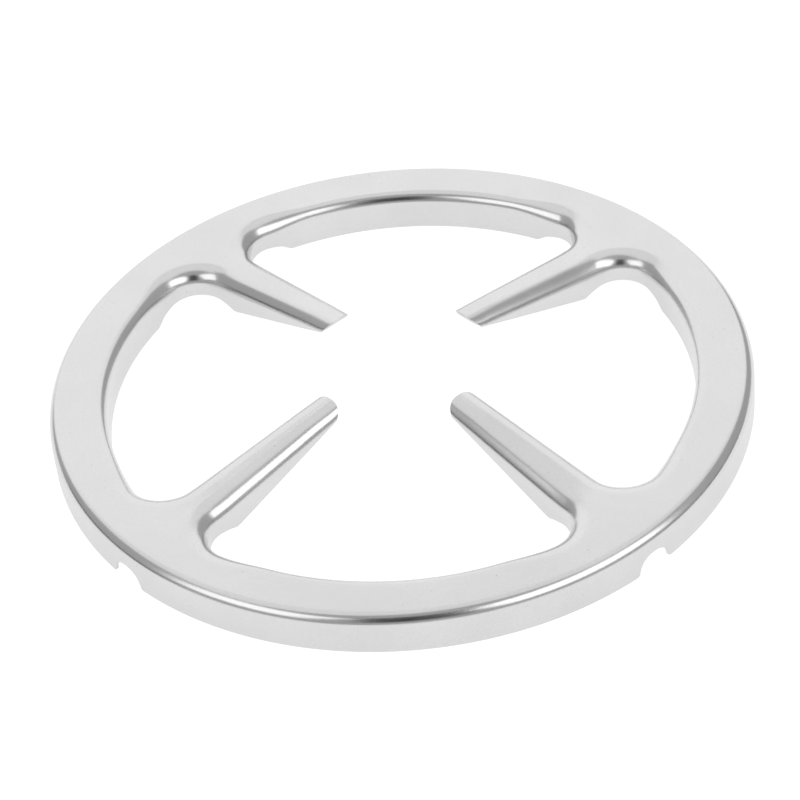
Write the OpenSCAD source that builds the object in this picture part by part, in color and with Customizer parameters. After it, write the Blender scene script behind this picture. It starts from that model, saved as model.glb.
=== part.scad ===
/* [Ring] */
// Diameter over the outer flange
ring_d = 230; // [200:1:280]
// Height of the ring, from the lower edge of the flanges to the top of the web
ring_h = 13.4; // [11:0.1:18]
// Width of the ring's channel, over the outer and the inner flange
ring_w = 18.8; // [15:0.2:28]
// Thickness of the sheet
sheet = 1; // [0.6:0.1:1.4]
// Outside radius of the bends along the outer edge and the inner edge of the ring
edge_r = 3.6; // [2.2:0.1:4.5]

/* [Fingers] */
// Number of fingers
finger_count = 4; // [3:1:6]
// Diameter of the circle that the finger tips reach in to
tip_circle_d = 59; // [45:1:90]
// Width of a finger at its tip
tip_w = 11.8; // [10.5:0.1:16]
// Slope of each side of a finger in plan, in degrees
finger_taper = 2.6; // [0:0.1:5]
// Height that a finger gains from its foot to its tip
finger_rise = 5.8; // [1:0.1:9]
// Outside radius of the bends along the fingers and round the window corners
finger_r = 4.6; // [3:0.1:5]
// Depth of a finger at its tip
tip_depth = 2.7; // [2:0.1:8]
// Radius in plan of the corners at a finger's end
nose_r = 3.5; // [2:0.1:5]
// Radius in plan of the corner between a finger and the ring
corner_r = 11.2; // [7:0.2:16]

/* [Cut-outs] */
// Width of the notch in the outer flange under each finger
notch_w = 12.4; // [8:0.2:20]
// Height of that notch
notch_h = 6.5; // [5:0.1:9]
// Height of the relief in the inner flange at each window corner
relief_h = 4.1; // [2:0.1:6]
// Length of that relief on the straight part beyond the corner, at each end
relief_run = 7.3; // [2:0.1:12]

/* [Hidden] */
steel = [0.86, 0.86, 0.86];
// How far a cutting shape runs past what it cuts
OVER = 1;
// How far the level web and a rising finger run into each other at the finger's foot
LAP = 8;
// How far a round stands out past what it blends into, so that the two surfaces cross cleanly
CROSSING = 0.003;
// Radius of the relief's ends as a share of its height
RELIEF_END = 0.73;
// How far in from a finger's side the centre of its end corner lies, and where that corner stops, in radii
NOSE_IN = 0.9;
NOSE_STOP = 0.99;
// How far the corner's bend runs on over the ring's narrower bend, in degrees
FADE = 45;
ARC = 48;
RING_ARC = 180;
$fn = ARC;

outer_r = ring_d / 2;
wall_r = outer_r - ring_w;
tip_r = tip_circle_d / 2;
half_pitch = 180 / finger_count;
all_h = ring_h + finger_rise;

// The straight side of a finger starts at its tip and runs out towards the ring
side_dir = [cos(finger_taper), sin(finger_taper)];
side_out = [-sin(finger_taper), cos(finger_taper)];
side_start = [tip_r, tip_w / 2];
// Centre of the corner arc: corner_r off the finger's side and corner_r inside the ring's wall
lead = side_start + corner_r * side_out;
reach = lead * side_dir;
side_len = sqrt(reach * reach - lead * lead + pow(wall_r - corner_r, 2)) - reach;
corner = lead + side_len * side_dir;
corner_ang = atan2(corner[1], corner[0]);
corner_sweep = 90 - finger_taper + corner_ang;
side_end = side_start + side_len * side_dir;
side_slope = atan(finger_rise / side_len);

function twin(p) = [p[0] * cos(2 * half_pitch) + p[1] * sin(2 * half_pitch),
                    p[0] * sin(2 * half_pitch) - p[1] * cos(2 * half_pitch)];

// Repeats its children at each finger
module each_finger() {
    for (i = [0 : finger_count - 1]) rotate(i * 360 / finger_count) children();
}

// A copy on each side of the line that halves a window
module both_sides() {
    children();
    mirror([sin(half_pitch), -cos(half_pitch)]) children();
}

// Puts the origin at the centre of a corner arc, with X out along the finger's side
module at_corner() {
    translate(corner) rotate(finger_taper) children();
}

// Plan of one window, grown into the metal by depth
module window_plan(depth) {
    polygon([side_start, side_end, corner, twin(corner), twin(side_end), twin(side_start)]);
    both_sides() at_corner() {
        circle(r = corner_r + depth);
        translate([-side_len - 5 * OVER, -corner_r - depth]) square([side_len + 5 * OVER, corner_r + depth]);
    }
    intersection() {
        circle(r = wall_r + depth, $fn = RING_ARC);
        polygon([[0, 0], 2 * corner, 2 * outer_r * [cos(half_pitch), sin(half_pitch)], 2 * twin(corner)]);
    }
}

// Section of what is cleared outside a bend of radius r, and above the skin for span beyond it.
// X is the wall at depth 0, and Y is 0 at the top of the outside surface.
module bend_clearance(wall, r, depth, span = 0) {
    skin_r = r - depth;
    side = wall + depth - CROSSING;
    difference() {
        union() {
            translate([side - OVER, -r - OVER]) square([OVER, r + 2 * OVER]);
            translate([side - OVER, -r]) square([OVER + skin_r, r + OVER]);
            if (span > 0)
                translate([side - OVER, -depth]) square([OVER + r + span, depth + finger_rise + 2 * OVER]);
        }
        translate([side + skin_r, -r]) circle(r = skin_r);
    }
}

// Clears the bend round one corner, with a short run of the finger's side that joins it
module corner_bend(depth) {
    at_corner() translate([0, 0, ring_h]) {
        rotate([90, 0, -90]) linear_extrude(LAP + 2 * OVER) bend_clearance(corner_r, finger_r, depth);
        rotate_extrude(start = -90, angle = corner_sweep + FADE) bend_clearance(corner_r, finger_r, depth);
    }
}

// Level part, in to the feet of the fingers, with its bends, at a depth inside the outer skin
module ring_body(depth) {
    skin_r = edge_r - depth;
    low = depth > 0 ? -OVER : 0;
    top = ring_h - depth;
    foot_r = side_end[0] - LAP;
    difference() {
        rotate_extrude($fn = RING_ARC) {
            translate([foot_r, low]) square([outer_r - edge_r - foot_r, top - low]);
            translate([foot_r, low]) square([outer_r - depth - foot_r, top - skin_r - low]);
            translate([outer_r - edge_r, top - skin_r]) circle(r = skin_r);
        }
        each_finger() {
            both_sides() corner_bend(depth);
            translate([0, 0, ring_h])
                rotate_extrude(start = corner_ang, angle = 2 * (half_pitch - corner_ang), $fn = RING_ARC)
                    bend_clearance(wall_r, edge_r, depth);
        }
    }
}

// One rising finger, with its bends, at a depth inside the outer skin
module finger_body(depth) {
    low = depth > 0 ? -OVER : 0;
    half = side_end[1] + OVER / 2;
    start = tip_r - (depth > 0 ? 3 : 2) * OVER;
    difference() {
        translate([start, -half, low]) cube([side_end[0] + LAP / 2 - start, 2 * half, all_h + OVER - low]);
        for (flip = [0, 1]) mirror([0, flip]) at_corner() translate([0, 0, ring_h]) rotate([0, side_slope, 0])
            rotate([90, 0, -90]) translate([0, 0, -LAP]) linear_extrude(LAP + side_len + 5 * OVER)
                bend_clearance(corner_r, finger_r, depth, 2 * half);
    }
}

// Everything under the skin that lies depth inside the outside surface
module under_skin(depth) {
    difference() {
        union() {
            ring_body(depth);
            each_finger() finger_body(depth);
        }
        translate([0, 0, -2 * OVER]) linear_extrude(all_h + 4 * OVER) each_finger() window_plan(depth);
    }
}

// Trims the end of a finger, square with two rounded corners
module tip_end() {
    half = tip_w / 2 - NOSE_IN * nose_r;
    nose_len = nose_r * (1 - sqrt(1 - NOSE_STOP * NOSE_STOP));
    wide = half + NOSE_STOP * nose_r;
    translate([0, 0, -2 * OVER]) linear_extrude(all_h + 4 * OVER) difference() {
        translate([tip_r - 4 * OVER, -wide]) square([4 * OVER + nose_len, 2 * wide]);
        translate([tip_r + CROSSING, -half]) square([nose_len + OVER, 2 * half]);
        for (side = [-1, 1]) translate([tip_r + nose_r, side * half]) circle(r = nose_r);
    }
}

// Clears the finger's sides below a line that rises from the ring's lower edge to the tip
module finger_undercut() {
    half = side_end[1] + OVER;
    start = tip_r - 4 * OVER;
    rotate([90, 0, 0]) translate([0, 0, -half]) linear_extrude(2 * half)
        polygon([[start, -OVER], [start, all_h - tip_depth], [tip_r, all_h - tip_depth], [side_end[0], 0],
                 [side_end[0], -OVER]]);
}

// Relief in the inner flange, pierced where the sheet stretches round a window corner.
// It is an arch with a long round on top and a small one at each end.
module corner_relief() {
    half = corner_r * sin(corner_sweep / 2) + relief_run * cos(corner_sweep / 2);
    end_r = RELIEF_END * relief_h;
    end_x = half - end_r;
    top_r = (end_x * end_x + relief_h * relief_h - end_r * end_r) / (2 * (relief_h - end_r));
    meet_x = end_x * top_r / (top_r - end_r);
    at_corner() rotate(corner_sweep / 2 - 90) rotate([90, 0, 90]) linear_extrude(corner_r + sheet + OVER) {
        for (side = [-1, 1]) translate([side * end_x, 0]) circle(r = end_r + CROSSING);
        intersection() {
            translate([0, relief_h - top_r]) circle(r = top_r, $fn = RING_ARC);
            translate([-meet_x, -OVER]) square([2 * meet_x, relief_h + 2 * OVER]);
        }
    }
}

// Notch in the outer flange, where an arm of the pan support passes in under the finger
module arm_notch() {
    half = notch_w / 2;
    translate([outer_r - edge_r, 0, 0]) rotate([90, 0, 90]) linear_extrude(edge_r + OVER) {
        translate([0, notch_h - half]) circle(r = half);
        translate([-half, -OVER]) square([notch_w, notch_h - half + OVER]);
    }
}

module wok_ring() {
    color(steel) difference() {
        under_skin(0);
        under_skin(sheet);
        each_finger() {
            tip_end();
            finger_undercut();
            arm_notch();
            both_sides() corner_relief();
        }
    }
}

wok_ring();
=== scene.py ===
"""Wok ring for a gas hob: one pressing of stainless sheet, its finish and the studio it stands in."""

import bpy
import numpy as np
from bpy.props import FloatProperty, FloatVectorProperty, IntProperty, PointerProperty
from bpy.types import Operator, Panel, PropertyGroup
from mathutils import Matrix, Vector


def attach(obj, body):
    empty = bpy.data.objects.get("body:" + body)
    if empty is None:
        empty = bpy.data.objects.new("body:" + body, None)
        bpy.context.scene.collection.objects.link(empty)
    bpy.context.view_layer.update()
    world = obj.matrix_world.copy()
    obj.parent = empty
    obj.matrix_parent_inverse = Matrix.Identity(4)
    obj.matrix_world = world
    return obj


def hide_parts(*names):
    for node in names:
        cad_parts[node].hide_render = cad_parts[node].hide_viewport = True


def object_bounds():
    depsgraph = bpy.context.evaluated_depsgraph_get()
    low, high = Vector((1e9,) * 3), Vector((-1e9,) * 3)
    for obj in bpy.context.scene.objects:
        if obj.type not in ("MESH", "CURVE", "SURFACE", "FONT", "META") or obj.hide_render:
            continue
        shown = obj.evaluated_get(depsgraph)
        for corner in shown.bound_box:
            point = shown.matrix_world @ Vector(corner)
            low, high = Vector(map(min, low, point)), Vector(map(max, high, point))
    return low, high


bl_info = {
    "name": "Wok ring",
    "version": (1, 0, 0),
    "blender": (4, 5, 0),
    "location": "View3D > Sidebar > Wok ring",
    "description": "Builds a pressed stainless wok ring and its studio",
    "category": "Add Mesh",
}

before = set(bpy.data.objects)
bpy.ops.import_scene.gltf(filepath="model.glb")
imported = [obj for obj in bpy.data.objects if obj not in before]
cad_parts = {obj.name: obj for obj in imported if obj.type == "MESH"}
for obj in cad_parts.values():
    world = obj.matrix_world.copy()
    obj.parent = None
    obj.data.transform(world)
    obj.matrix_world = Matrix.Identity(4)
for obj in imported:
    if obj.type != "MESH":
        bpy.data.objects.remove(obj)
cad_low, cad_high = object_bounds()


def linear(code, alpha=1.0):
    """An sRGB hex colour such as "D8D8D6" as linear red, green, blue and alpha."""
    channels = np.array([int(code[i : i + 2], 16) / 255 for i in (0, 2, 4)])
    low = channels <= 0.04045
    value = np.where(low, channels / 12.92, ((channels + 0.055) / 1.055) ** 2.4)
    return (*(float(c) for c in value), alpha)


def add_node(tree, kind, inputs=None, links=None, **settings):
    """Adds one shader node: its own settings, values for its inputs, and links into its inputs."""
    node = tree.nodes.new(kind)
    for key, value in settings.items():
        setattr(node, key, value)
    for key, value in (inputs or {}).items():
        node.inputs[key].default_value = value
    for key, source in (links or {}).items():
        tree.links.new(source, node.inputs[key])
    return node


# Sizes


class WokRingSizes(PropertyGroup):
    """Sizes of the pressing."""

    diameter: FloatProperty(
        name="Diameter", description="Over the outer flange", default=cad_high.x - cad_low.x, unit="LENGTH"
    )
    height: FloatProperty(
        name="Height", description="From the lower edge to the top of the web", default=0.0134, unit="LENGTH"
    )
    channel: FloatProperty(
        name="Channel width", description="Over the outer and the inner flange", default=0.0188, unit="LENGTH"
    )
    sheet: FloatProperty(name="Sheet", description="Thickness of the sheet", default=0.001, unit="LENGTH")
    edge_bend: FloatProperty(
        name="Edge bend", description="Outside radius of the bend round the outer edge", default=0.0037, unit="LENGTH"
    )
    ring_bend: FloatProperty(
        name="Ring bend", description="Outside radius of the bend round the inner edge", default=0.0038, unit="LENGTH"
    )
    corner_bend: FloatProperty(
        name="Corner bend", description="Outside radius of the bend at a window corner", default=0.0057, unit="LENGTH"
    )
    tip_bend: FloatProperty(
        name="Tip bend", description="Outside radius of the bend at a finger's tip", default=0.0045, unit="LENGTH"
    )
    fingers: IntProperty(name="Fingers", description="Number of fingers", default=4, min=3, max=6)
    bend_width: FloatProperty(
        name="Bend width", description="Width of a finger's bend for its height", default=1.18, subtype="FACTOR"
    )
    tip_circle: FloatProperty(
        name="Tip circle", description="Diameter that the finger tips reach in to", default=0.0573, unit="LENGTH"
    )
    tip_width: FloatProperty(name="Tip width", description="Width of a finger at its tip", default=0.0118, unit="LENGTH")
    taper: FloatProperty(
        name="Taper", description="Slope of each side of a finger in plan", default=np.radians(2.6), unit="ROTATION"
    )
    rise: FloatProperty(
        name="Rise", description="Height that a finger gains to its tip", default=0.0067, unit="LENGTH"
    )
    foot_blend: FloatProperty(
        name="Foot blend", description="Half length of the soft bend at a finger's foot", default=0.006, unit="LENGTH"
    )
    tip_depth: FloatProperty(name="Tip depth", description="Depth of a finger at its tip", default=0.0034, unit="LENGTH")
    nose: FloatProperty(
        name="Nose", description="Length in which a finger's end rounds into its sides", default=0.0041, unit="LENGTH"
    )
    corner: FloatProperty(
        name="Corner radius", description="Plan radius between a finger and the ring", default=0.0112, unit="LENGTH"
    )
    relief: FloatProperty(
        name="Relief height", description="Height of the relief in the inner flange", default=0.0041, unit="LENGTH"
    )
    relief_finger: FloatProperty(
        name="Relief on finger", description="Reach of the relief along the finger", default=0.0076, unit="LENGTH"
    )
    relief_ring: FloatProperty(
        name="Relief on ring", description="Reach of the relief along the ring", default=0.0070, unit="LENGTH"
    )
    notch_width: FloatProperty(
        name="Notch width", description="Width of the notch for a pan support's arm", default=0.0124, unit="LENGTH"
    )
    notch_height: FloatProperty(name="Notch height", description="Height of that notch", default=0.0065, unit="LENGTH")
    notch_mouth: FloatProperty(
        name="Notch mouth", description="Radius at the mouth of the notch", default=0.0012, unit="LENGTH"
    )
    shear_round: FloatProperty(
        name="Edge rounding", description="Rounding of the sheared edges", default=0.00015, unit="LENGTH"
    )


class WokRingLooks(PropertyGroup):
    """Colours of the steel and the studio."""

    steel: FloatVectorProperty(
        name="Steel", description="Colour of the sheet", subtype="COLOR", size=4, default=linear("E6E6E6"), min=0, max=1
    )
    floor: FloatVectorProperty(
        name="Floor", description="Colour of the floor", subtype="COLOR", size=4, default=linear("F4F4F4"), min=0, max=1
    )
    roughness: FloatProperty(
        name="Roughness", description="Roughness of the satin finish", subtype="FACTOR", default=0.22, min=0, max=1
    )


# Shape of the pressing

FINGER_COLUMNS, FOOT_COLUMNS, NOTCH_COLUMNS, LIP_COLUMNS, ARC_COLUMNS = 26, 14, 16, 8, 32
BEND_ROWS, FLANGE_ROWS, WEB_ROWS = 16, 5, 8
ARCH_POWER = 2.2
NOSE_WIDE, NOSE_STOP = 1.03, 0.98


def stack(*parts):
    """Joins arrays along their last axis, after spreading single numbers over the longest."""
    return np.stack(np.broadcast_arrays(*parts), -1)


class Plan:
    """Half of one finger and half of one window in plan, with the finger along X, as columns along the inner edge.

    The edge runs straight down the finger's side, round the corner arc and along the ring's inner wall.
    point is the edge, inward the direction into the metal, bend the bend's height there and wide its width,
    and run the distance along the edge from the finger's foot.
    """

    def __init__(self, s):
        self.size = s
        t = s.taper
        self.outer = s.diameter / 2
        self.wall = self.outer - s.channel
        self.half_pitch = np.pi / s.fingers
        along, out = np.array([np.cos(t), np.sin(t)]), np.array([-np.sin(t), np.cos(t)])
        start = np.array([s.tip_circle / 2, s.tip_width / 2])
        lead = start + s.corner * out
        reach = lead @ along
        length = np.sqrt(reach**2 - lead @ lead + (self.wall - s.corner) ** 2) - reach
        centre = lead + length * along
        corner_angle = np.arctan2(centre[1], centre[0])
        self.foot_x = (start + length * along)[0]
        self.nose_x = self.end_x(s.tip_width / 2)
        first = (self.nose_x - start[0]) / along[0]

        u = np.linspace(first, length, FINGER_COLUMNS + 1)
        side = start + u[:, None] * along
        corner_columns = FOOT_COLUMNS + NOTCH_COLUMNS + LIP_COLUMNS
        a = np.linspace(t - np.pi / 2, corner_angle, corner_columns + 1)[1:]
        round_dir = stack(np.cos(a), np.sin(a))
        w = np.linspace(corner_angle, self.half_pitch, ARC_COLUMNS + 1)[1:]
        arc_dir = stack(np.cos(w), np.sin(w))
        self.point = np.concatenate([side, centre + s.corner * round_dir, self.wall * arc_dir])
        self.inward = np.concatenate([np.broadcast_to(-out, side.shape), round_dir, arc_dir])
        self.corner_length = s.corner * (a[-1] - t + np.pi / 2)
        self.run = np.concatenate(
            [u - length, s.corner * (a - t + np.pi / 2), self.corner_length + self.wall * (w - corner_angle)]
        )
        self.side_length = length
        self.share = np.clip((self.run + length) / length, 0, 1)
        fade = np.clip((self.run - self.corner_length) / 0.018, 0, 1)
        fade = fade * fade * (3 - 2 * fade)
        bend = s.tip_bend + (s.corner_bend - s.tip_bend) * self.share
        self.bend = bend + (s.ring_bend - bend) * fade
        self.wide = self.bend * (s.bend_width + (1 - s.bend_width) * fade)
        self.corner_angle = corner_angle

    def lift(self, x):
        """How far each column's skin stands above the web's level at x: nothing along the ring, a parabola of
        half length foot_blend about the finger's foot, and a straight slope beyond it up to the tip."""
        s = self.size
        slope = s.rise / self.side_length * (self.run <= self.corner_length)
        u, w = self.foot_x - x, s.foot_blend
        return slope * np.where(u > w, u, np.clip(u + w, 0, None) ** 2 / (4 * w))

    def end_x(self, y):
        """Where a finger ends at y: nose (1 - (1 - k^p)^(1/p)) out from the tip circle, k being the share of the
        finger's half width."""
        s = self.size
        k = np.clip(np.abs(y) / (NOSE_WIDE * s.tip_width / 2), 0, NOSE_STOP)
        return s.tip_circle / 2 + s.nose * (1 - (1 - k**ARCH_POWER) ** (1 / ARCH_POWER))

    def cut_height(self):
        """Height of the trimmed edge: a line that climbs the finger to its tip, or where that is higher, the
        relief's arch over the corner, whose height at share k of its half length is (1 - k^p)^(1/p)."""
        s = self.size
        tip = s.height + s.rise - s.tip_depth
        line = tip * (1 - self.share)
        low, high = -s.relief_finger, self.corner_length + s.relief_ring
        k = np.clip(np.abs((self.run - (low + high) / 2) / ((high - low) / 2)), 0, 1)
        return np.maximum(line, s.relief * (1 - k**ARCH_POWER) ** (1 / ARCH_POWER))


def rolled_rows(point, inward, level, bend, wide, cut):
    """A flange under its bend, as rows from the bend's upper tangent down to the cut edge.

    q runs down the section. Up to a quarter turn it follows an ellipse, which stands wide - wide sin(q / bend)
    inside the wall and bend - bend cos(q / bend) under the skin, and past it the wall.
    """
    quarter = bend * np.pi / 2
    under = level - cut
    turn = np.arccos(np.clip((bend - under) / bend, 0, 1))
    total = np.where(under > bend, quarter + under - bend, bend * turn)
    knee = np.minimum(quarter, 0.8 * total)
    rows = np.concatenate(
        [
            np.linspace(0, 1, BEND_ROWS + 1)[:, None] * knee,
            knee + np.linspace(0, 1, FLANGE_ROWS + 1)[1:, None] * (total - knee),
        ]
    )
    angle = np.minimum(rows / bend, np.pi / 2)
    aside = wide - wide * np.sin(angle)
    z = level - bend + bend * np.cos(angle) - np.clip(rows - quarter, 0, None)
    xy = point + aside[..., None] * inward
    return np.concatenate([xy, z[..., None]], -1)


def notch_path(s):
    """Half of the lower edge's path across the notch, as distance round the flange and height: an arch of the
    form (x/a)^p + (z/b)^p = 1 from its crown, then an outward quarter round into the lower edge."""
    a, b, r = s.notch_width / 2, s.notch_height, s.notch_mouth
    angle = np.linspace(0, np.pi / 2, 400)
    x, z = a * np.sin(angle) ** (2 / ARCH_POWER), b * np.cos(angle) ** (2 / ARCH_POWER)
    keep = z > r
    turn = np.linspace(0, np.pi / 2, 60)
    x = np.concatenate([x[keep], x[keep][-1] + r - r * np.cos(turn)])
    z = np.concatenate([z[keep], r - r * np.sin(turn)])
    return x, z


def grid_faces(ids):
    """Quads of a grid of vertex numbers, whose rows run down the section and whose columns run along it."""
    return np.stack([ids[:-1, :-1], ids[:-1, 1:], ids[1:, 1:], ids[1:, :-1]], -1).reshape(-1, 4)


def half_skin(s):
    """The outside skin of half a finger and half a window, as vertices and quads.

    Columns follow the plan's inner edge. Each one runs from the trimmed inner edge up the flange and the bend
    and over the web, to the finger's middle line or to the outer bend and flange.
    """
    plan = Plan(s)
    level = s.height + plan.lift((plan.point + plan.wide[:, None] * plan.inward)[:, 0])
    inner = rolled_rows(plan.point, plan.inward, level, plan.bend, plan.wide, plan.cut_height())
    split = FINGER_COLUMNS + FOOT_COLUMNS

    # Far side of the web: along the middle line out to the rim's bend, then round the rim
    rim = plan.outer - s.edge_bend
    tangent = inner[0, :, :2]
    middle = np.concatenate(
        [
            stack(tangent[: FINGER_COLUMNS + 1, 0], 0.0),
            stack(np.linspace(tangent[FINGER_COLUMNS, 0], rim, FOOT_COLUMNS + 1)[1:], 0.0),
        ]
    )
    x, z = notch_path(s)
    path = np.concatenate([[0], np.cumsum(np.hypot(np.diff(x), np.diff(z)))])
    lip_angle = plan.corner_angle
    low_x = np.concatenate(
        [
            np.interp(np.linspace(0, path[-1], NOTCH_COLUMNS + 1), path, x),
            np.linspace(x[-1], plan.outer * lip_angle, LIP_COLUMNS + 1)[1:],
            plan.outer * np.linspace(lip_angle, plan.half_pitch, ARC_COLUMNS + 1)[1:],
        ]
    )
    low_z = np.zeros(len(low_x))
    low_z[: NOTCH_COLUMNS + 1] = np.interp(np.linspace(0, path[-1], NOTCH_COLUMNS + 1), path, z)
    steps = np.concatenate([[0], np.cumsum(np.hypot(np.diff(low_x), np.diff(low_z)))])
    lip = NOTCH_COLUMNS + LIP_COLUMNS
    rim_angle = np.where(
        np.arange(len(steps)) <= lip, steps / steps[lip] * lip_angle, low_x / plan.outer
    )
    far = np.concatenate([middle, rim * stack(np.cos(rim_angle[1:]), np.sin(rim_angle[1:]))])

    share = np.linspace(0, 1, WEB_ROWS + 1)[:, None, None]
    web_xy = tangent + share * (far - tangent)
    web_z = s.height + plan.lift(web_xy[..., 0])
    web = np.concatenate([web_xy, web_z[..., None]], -1)

    # Nose: the columns near the tip lean out to the rounded end
    weight = np.clip(1 - (plan.point[:, 0] - plan.nose_x) / 0.008, 0, 1)
    for part in (inner, web):
        part[..., 0] += weight * (plan.end_x(part[..., 1]) - plan.nose_x)

    # Outer bend and flange
    turn = np.linspace(0, np.pi / 2, BEND_ROWS + 1)[:, None]
    radius = rim + s.edge_bend * np.sin(turn)
    bend = stack(
        radius * np.cos(rim_angle), radius * np.sin(rim_angle), s.height - s.edge_bend * (1 - np.cos(turn))
    )
    down = np.linspace(0, 1, FLANGE_ROWS + 1)[1:, None]
    angle = rim_angle + down * (low_x / plan.outer - rim_angle)
    flange = stack(
        plan.outer * np.cos(angle),
        plan.outer * np.sin(angle),
        (s.height - s.edge_bend) * (1 - down) + down * low_z,
    )
    outer = np.concatenate([bend, flange])

    near = np.concatenate([inner[::-1], web[1:]])
    grids = [near[:, : split + 1], np.concatenate([near[:, split:], outer[1:]])]
    verts, faces, count = [], [], 0
    for grid in grids:
        ids = count + np.arange(grid.shape[0] * grid.shape[1]).reshape(grid.shape[:2])
        verts.append(grid.reshape(-1, 3))
        faces.append(grid_faces(ids))
        count += ids.size
    return np.concatenate(verts), np.concatenate(faces)


def whole_skin(s):
    """Repeats the half skin: mirrored over the finger's middle and turned to each finger, with joined seams."""
    verts, faces = half_skin(s)
    all_verts, all_faces = [], []
    for k in range(s.fingers):
        angle = 2 * np.pi * k / s.fingers
        turn = np.array([[np.cos(angle), np.sin(angle), 0], [-np.sin(angle), np.cos(angle), 0], [0, 0, 1]])
        for flip in (1, -1):
            count = len(all_verts) * len(verts)
            all_verts.append((verts * [1, flip, 1]) @ turn)
            all_faces.append(count + (faces if flip < 0 else faces[:, ::-1]))
    verts, faces = np.concatenate(all_verts), np.concatenate(all_faces)
    _, first, same = np.unique(np.round(verts / 2e-7).astype(np.int64), axis=0, return_index=True, return_inverse=True)
    return verts[first], same.reshape(-1)[faces]


def skin_normals(verts, faces):
    """Normal at each vertex: the sum of its faces' normals, each as long as its area."""
    a, b = verts[faces[:, 2]] - verts[faces[:, 0]], verts[faces[:, 3]] - verts[faces[:, 1]]
    cross = np.cross(a, b)
    total = np.zeros_like(verts)
    for corner in range(4):
        np.add.at(total, faces[:, corner], cross)
    return total / np.linalg.norm(total, axis=1, keepdims=True)


def rim_edges(faces, count):
    """Edges that only one face uses, in that face's direction."""
    edges = np.concatenate([np.stack([faces[:, i], faces[:, (i + 1) % 4]], -1) for i in range(4)])
    key = np.sort(edges, 1) @ np.array([count, 1])
    _, index, used = np.unique(key, return_index=True, return_counts=True)
    return edges[index[used == 1]]


def sheet_solid(verts, faces, s):
    """Gives the skin its thickness: the inner skin lies one sheet below it along the normals, and a strip
    with two small rounds closes the sheared edge. Returns vertices, normals and quads."""
    normal = skin_normals(verts, faces)
    edges = rim_edges(faces, len(verts))
    after, before = np.full(len(verts), -1), np.full(len(verts), -1)
    after[edges[:, 0]], before[edges[:, 1]] = edges[:, 1], edges[:, 0]
    rim = edges[:, 0]
    tangent = verts[after[rim]] - verts[before[rim]]
    out = np.cross(tangent, normal[rim])
    out /= np.linalg.norm(out, axis=1, keepdims=True)
    edge, r, t = verts[rim].copy(), s.shear_round, s.sheet
    verts = verts.copy()
    verts[rim] -= r * out
    top = normal[rim]
    mid = np.sqrt(0.5)
    # Each row of the strip: how far out, how far down, and its normal as shares of out and up
    rows = [
        (-r * (1 - mid), r * (1 - mid), mid, mid),
        (0, r, 1, 0),
        (0, t - r, 1, 0),
        (-r * (1 - mid), t - r * (1 - mid), mid, -mid),
    ]
    strip = [edge + o * out - d * top for o, d, _, _ in rows]
    strip_normal = [a * out + b * top for _, _, a, b in rows]
    count, n = len(verts), len(rim)
    points = np.concatenate([verts, verts - t * normal, *strip])
    normals = np.concatenate([normal, -normal, *strip_normal])
    place = np.full(count, -1)
    place[rim] = np.arange(n)
    a, b = place[edges[:, 0]], place[edges[:, 1]]
    levels = [rim] + [2 * count + k * n + np.arange(n) for k in range(4)] + [count + rim]
    walls = [np.stack([hi[b], hi[a], lo[a], lo[b]], -1) for hi, lo in zip(levels[:-1], levels[1:])]
    return points, normals, np.concatenate([faces, count + faces[:, ::-1], *walls])


def make_mesh(name, verts, faces, normals):
    """Puts the arrays into a new mesh, smooth, with the worked-out normals."""
    mesh = bpy.data.meshes.new(name)
    mesh.vertices.add(len(verts))
    mesh.vertices.foreach_set("co", verts.astype(np.float32).ravel())
    mesh.loops.add(faces.size)
    mesh.loops.foreach_set("vertex_index", faces.astype(np.int32).ravel())
    mesh.polygons.add(len(faces))
    mesh.polygons.foreach_set("loop_start", np.arange(0, faces.size, 4, dtype=np.int32))
    mesh.polygons.foreach_set("use_smooth", np.ones(len(faces), bool))
    mesh.update(calc_edges=True)
    mesh.validate()
    mesh.normals_split_custom_set_from_vertices(normals.astype(np.float32))
    return mesh


# Finish


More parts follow.
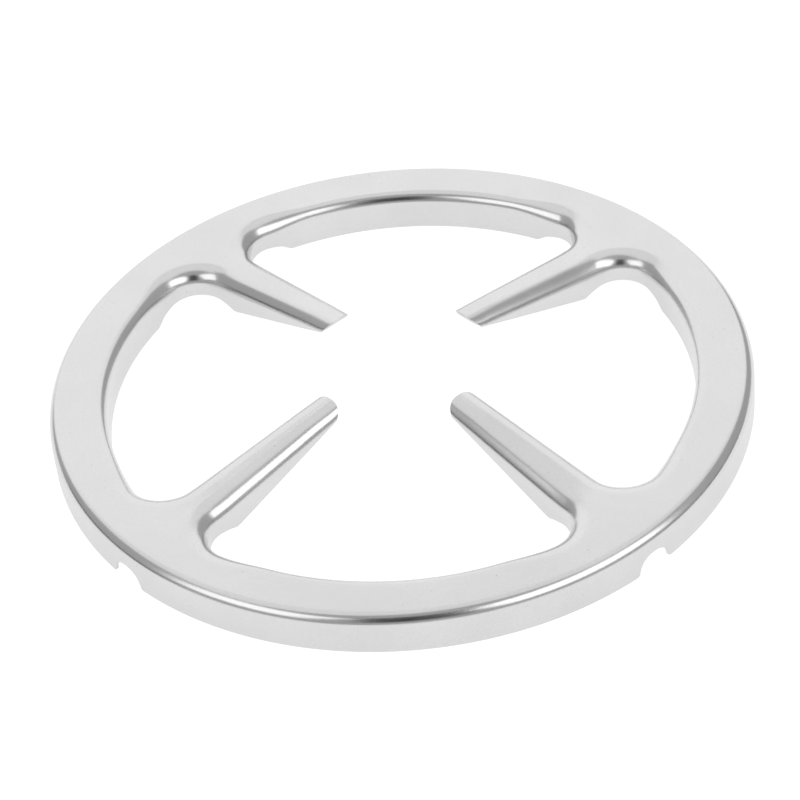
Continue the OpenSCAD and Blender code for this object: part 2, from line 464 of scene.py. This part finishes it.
def satin_stainless(looks):
    """Cold-rolled 18/10 stainless sheet, pressed and tumbled: a bright, neutral metal whose fine satin blurs
    reflections, with rolling grain, small pits and handling marks."""
    material = bpy.data.materials.new("satin_stainless_sheet")
    material.use_nodes = True
    tree = material.node_tree
    tree.nodes.clear()
    place = add_node(tree, "ShaderNodeTexCoord").outputs["Object"]

    def noise(scale, detail, vector=place):
        return add_node(tree, "ShaderNodeTexNoise", {"Scale": scale, "Detail": detail}, {"Vector": vector}).outputs[0]

    def ramp(value, low, high, start, end):
        inputs = {"From Min": low, "From Max": high, "To Min": start, "To Max": end}
        return add_node(tree, "ShaderNodeMapRange", inputs, {"Value": value}).outputs[0]

    def times(a, b):
        return add_node(tree, "ShaderNodeMath", links={0: a, 1: b}, operation="MULTIPLY").outputs[0]

    # Handling marks: noise drawn out to hair lines about 0.3 mm wide and 30 mm long
    lines = add_node(tree, "ShaderNodeMapping", {"Rotation": (0, 0, 0.5), "Scale": (1.0, 90.0, 1.0)}, {"Vector": place})
    marks = ramp(noise(34.0, 1.0, lines.outputs[0]), 0.70, 0.76, 0.0, 1.0)
    # Pits: the middle of a Voronoi cell, about 0.25 mm across on a 5 mm grid
    cells = add_node(tree, "ShaderNodeTexVoronoi", {"Scale": 210.0}, {"Vector": place})
    pits = ramp(cells.outputs["Distance"], 0.02, 0.05, 0.55, 1.0)
    cloud = noise(38.0, 3.0)
    grain = noise(2300.0, 2.0)
    shade = times(times(pits, ramp(cloud, 0.3, 0.7, 0.945, 1.0)), ramp(grain, 0.3, 0.7, 0.93, 1.0))
    base = add_node(
        tree, "ShaderNodeMix", {"Factor": 1.0, 6: looks.steel}, {7: shade}, data_type="RGBA", blend_type="MULTIPLY"
    ).outputs[2]
    rough = add_node(
        tree,
        "ShaderNodeMath",
        {1: 0.02},
        {0: marks, 2: ramp(cloud, 0.3, 0.7, looks.roughness - 0.02, looks.roughness + 0.03)},
        operation="MULTIPLY_ADD",
    ).outputs[0]
    relief = add_node(tree, "ShaderNodeBump", {"Strength": 0.3, "Distance": 0.00002}, {"Height": grain}).outputs[0]
    shader = add_node(
        tree,
        "ShaderNodeBsdfPrincipled",
        {"Metallic": 1.0},
        {"Base Color": base, "Roughness": rough, "Normal": relief},
    )
    add_node(tree, "ShaderNodeOutputMaterial", links={"Surface": shader.outputs["BSDF"]})
    return material


class WOKRING_OT_pressing(Operator):
    """Makes the pressed ring with its fingers, bends, reliefs and notches"""

    bl_idname = "wok_ring.pressing"
    bl_label = "Pressing"

    def execute(self, context):
        sizes, looks = context.scene.wok_ring_sizes, context.scene.wok_ring_looks
        verts, faces = whole_skin(sizes)
        verts, normals, faces = sheet_solid(verts, faces, sizes)
        piece = bpy.data.objects.new("pressed_ring", make_mesh("pressed_ring", verts, faces, normals))
        context.scene.collection.objects.link(piece)
        piece.data.materials.append(satin_stainless(looks))
        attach(piece, "root")
        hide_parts("wok_ring")
        return {"FINISHED"}


# Studio

CAMERA_AZIMUTH, CAMERA_ELEVATION, CAMERA_ROLL = np.radians(-38.185), np.radians(40.06), np.radians(-6.216)
STUDIO = 1.6
# Name, azimuth round from the camera's side to its right, elevation, width, height and radiance of each softbox,
# which shines on top of the room's light, and of each card, which hides it
SOFTBOXES = (
    ("softbox_right", 50, 42, 1.5, 1.1, 0.95),
    ("softbox_left", -56, 40, 1.1, 0.95, 0.75),
    ("softbox_rear", 186, 26, 2.4, 1.42, 0.48),
    ("softbox_top", 186, 72, 2.0, 1.2, 0.35),
)
CARDS = (
    ("card_camera", -3, 40, 0.75, 1.15, 0.01),
    ("card_left", -95, 5, 1.3, 0.27, 0.1),
    ("card_right", 92, 4, 1.3, 0.2, 0.15),
)


def camera_axes(azimuth, elevation, roll):
    """Rotation of a camera that looks at the origin from that side and height, with the picture turned by roll."""
    back = Vector(
        (np.sin(azimuth) * np.cos(elevation), -np.cos(azimuth) * np.cos(elevation), np.sin(elevation))
    )
    look = (-back).to_track_quat("-Z", "Y").to_matrix()
    return back, look @ Matrix.Rotation(roll, 3, "Z")


class WOKRING_OT_stage(Operator):
    """Makes the pale floor, the soft lights and the camera"""

    bl_idname = "wok_ring.stage"
    bl_label = "Stage"

    def place(self, context, thing, azimuth, elevation, distance):
        """Stands a lamp or card off the origin and turns it to face it; azimuth runs from the camera's side."""
        back, turn = camera_axes(CAMERA_AZIMUTH + np.radians(azimuth), np.radians(elevation), 0)
        thing.matrix_world = Matrix.Translation(back * distance) @ turn.to_4x4()
        context.scene.collection.objects.link(thing)

    def execute(self, context):
        scene, looks = context.scene, context.scene.wok_ring_looks
        half = 3.0
        mesh = bpy.data.meshes.new("floor")
        mesh.from_pydata([(-half, -half, 0), (half, -half, 0), (half, half, 0), (-half, half, 0)], [], [(0, 1, 2, 3)])
        floor = bpy.data.objects.new("floor", mesh)
        scene.collection.objects.link(floor)
        material = bpy.data.materials.new("pale_floor")
        material.use_nodes = True
        tree = material.node_tree
        tree.nodes.clear()
        diffuse = add_node(tree, "ShaderNodeBsdfDiffuse", {"Color": looks.floor}).outputs["BSDF"]
        glow = add_node(tree, "ShaderNodeEmission", {"Color": (1, 1, 1, 1), "Strength": 1.2}).outputs["Emission"]
        path = add_node(tree, "ShaderNodeLightPath").outputs
        seen = add_node(tree, "ShaderNodeMath", {1: 0.8}, {0: path["Is Camera Ray"]}, operation="MULTIPLY").outputs[0]
        share = add_node(
            tree, "ShaderNodeMath", {1: 0.62}, {0: path["Is Glossy Ray"], 2: seen}, operation="MULTIPLY_ADD"
        ).outputs[0]
        mixed = add_node(tree, "ShaderNodeMixShader", links={0: share, 1: diffuse, 2: glow}).outputs[0]
        add_node(tree, "ShaderNodeOutputMaterial", links={"Surface": mixed})
        mesh.materials.append(material)

        world = bpy.data.worlds.new("studio")
        scene.world = world
        world.use_nodes = True
        tree = world.node_tree
        tree.nodes.clear()
        sky = add_node(tree, "ShaderNodeBackground", {"Color": linear("ACACAC"), "Strength": 1.0}).outputs[0]
        white = add_node(tree, "ShaderNodeBackground", {"Color": (1, 1, 1, 1), "Strength": 1.0}).outputs[0]
        ray = add_node(tree, "ShaderNodeLightPath").outputs["Is Camera Ray"]
        mixed = add_node(tree, "ShaderNodeMixShader", links={0: ray, 1: sky, 2: white}).outputs[0]
        add_node(tree, "ShaderNodeOutputWorld", links={"Surface": mixed})

        for name, azimuth, elevation, width, height, radiance in SOFTBOXES:
            light = bpy.data.lights.new(name, "AREA")
            light.shape, light.size, light.size_y = "RECTANGLE", width, height
            light.energy = 4 * radiance * width * height
            self.place(context, bpy.data.objects.new(name, light), azimuth, elevation, STUDIO)
        for name, azimuth, elevation, width, height, radiance in CARDS:
            x, y = width / 2, height / 2
            card = bpy.data.meshes.new(name)
            card.from_pydata([(-x, -y, 0), (x, -y, 0), (x, y, 0), (-x, y, 0)], [], [(0, 1, 2, 3)])
            grey = bpy.data.materials.new(name)
            grey.use_nodes = True
            tree = grey.node_tree
            tree.nodes.clear()
            glow = add_node(tree, "ShaderNodeEmission", {"Color": (1, 1, 1, 1), "Strength": radiance}).outputs[0]
            add_node(tree, "ShaderNodeOutputMaterial", links={"Surface": glow})
            card.materials.append(grey)
            holder = bpy.data.objects.new(name, card)
            self.place(context, holder, azimuth, elevation, STUDIO)

        camera = bpy.data.cameras.new("camera")
        camera.sensor_width, camera.lens = 36.0, 127.71
        camera.shift_x, camera.shift_y = -0.0031, 0.0027
        holder = bpy.data.objects.new("camera", camera)
        back, turn = camera_axes(CAMERA_AZIMUTH, CAMERA_ELEVATION, CAMERA_ROLL)
        holder.matrix_world = Matrix.Translation(back * 0.93365) @ turn.to_4x4()
        scene.collection.objects.link(holder)
        scene.camera = holder
        scene.view_settings.view_transform = "Standard"
        return {"FINISHED"}


class VIEW3D_PT_wok_ring(Panel):
    """Sizes, colours and steps of the wok ring."""

    bl_label = "Wok ring"
    bl_idname = "VIEW3D_PT_wok_ring"
    bl_space_type = "VIEW_3D"
    bl_region_type = "UI"
    bl_category = "Wok ring"

    def draw(self, context):
        layout = self.layout
        for group in (context.scene.wok_ring_sizes, context.scene.wok_ring_looks):
            for key in group.__annotations__:
                layout.prop(group, key)
        for kind in OPERATORS:
            layout.operator(kind.bl_idname)


GROUPS = {"wok_ring_sizes": WokRingSizes, "wok_ring_looks": WokRingLooks}
OPERATORS = (WOKRING_OT_pressing, WOKRING_OT_stage)
CLASSES = (*GROUPS.values(), *OPERATORS, VIEW3D_PT_wok_ring)


def register():
    for kind in CLASSES:
        bpy.utils.register_class(kind)
    for key, group in GROUPS.items():
        setattr(bpy.types.Scene, key, PointerProperty(type=group))


def unregister():
    for key in GROUPS:
        delattr(bpy.types.Scene, key)
    for kind in reversed(CLASSES):
        bpy.utils.unregister_class(kind)


def main():
    register()
    bpy.ops.wok_ring.pressing()
    bpy.ops.wok_ring.stage()


if __name__ == "__main__":
    main()
